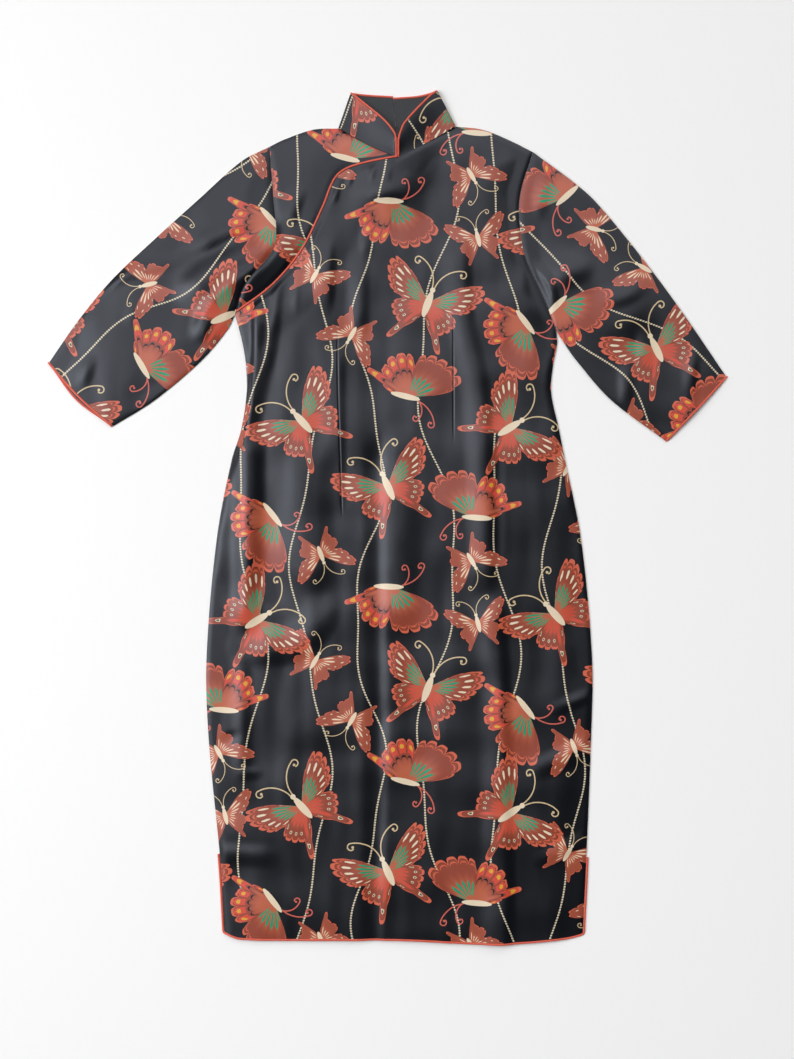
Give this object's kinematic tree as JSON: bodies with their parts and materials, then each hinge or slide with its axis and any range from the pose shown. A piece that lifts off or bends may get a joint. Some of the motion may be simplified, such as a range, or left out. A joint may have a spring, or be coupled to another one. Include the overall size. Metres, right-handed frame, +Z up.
{
  "type": "cheongsam dress",
  "caption": "Fitted cheongsam dress with a split stand collar, a slanting side opening, elbow sleeves and side slits, laid flat face up.",
  "frame": {"origin": "centre of the bounding box in plan, on the surface that the dress lies on", "axes": "+Y from the hem to the collar, +X to the right of someone who looks down at the front, +Z up, out of the front"},
  "size_m": [0.9041, 1.1366, 0.0093],
  "materials": {
    "printed_satin": "near-black satin with a soft sheen and an all-over print of brick-red butterflies and strings of cream beads",
    "dark_lining": "plain dark grey lining cloth, slightly duller than the satin",
    "coral_piping": "coral satin piping, rolled narrow"
  },
  "bodies": {
    "root": {"back_left": "printed_satin", "back_right": "printed_satin", "front": "printed_satin", "front_underlap": "printed_satin", "sleeve_left": "printed_satin", "sleeve_right": "printed_satin", "collar_left": "printed_satin", "collar_right": "printed_satin", "collar_lining_left": "dark_lining", "collar_lining_right": "dark_lining", "piping_collar_left": "coral_piping", "piping_collar_right": "coral_piping", "piping_opening": "coral_piping", "piping_cuff_left": "coral_piping", "piping_cuff_right": "coral_piping", "piping_hem_front": "coral_piping", "piping_hem_back": "coral_piping"}
  },
  "joints": []
}
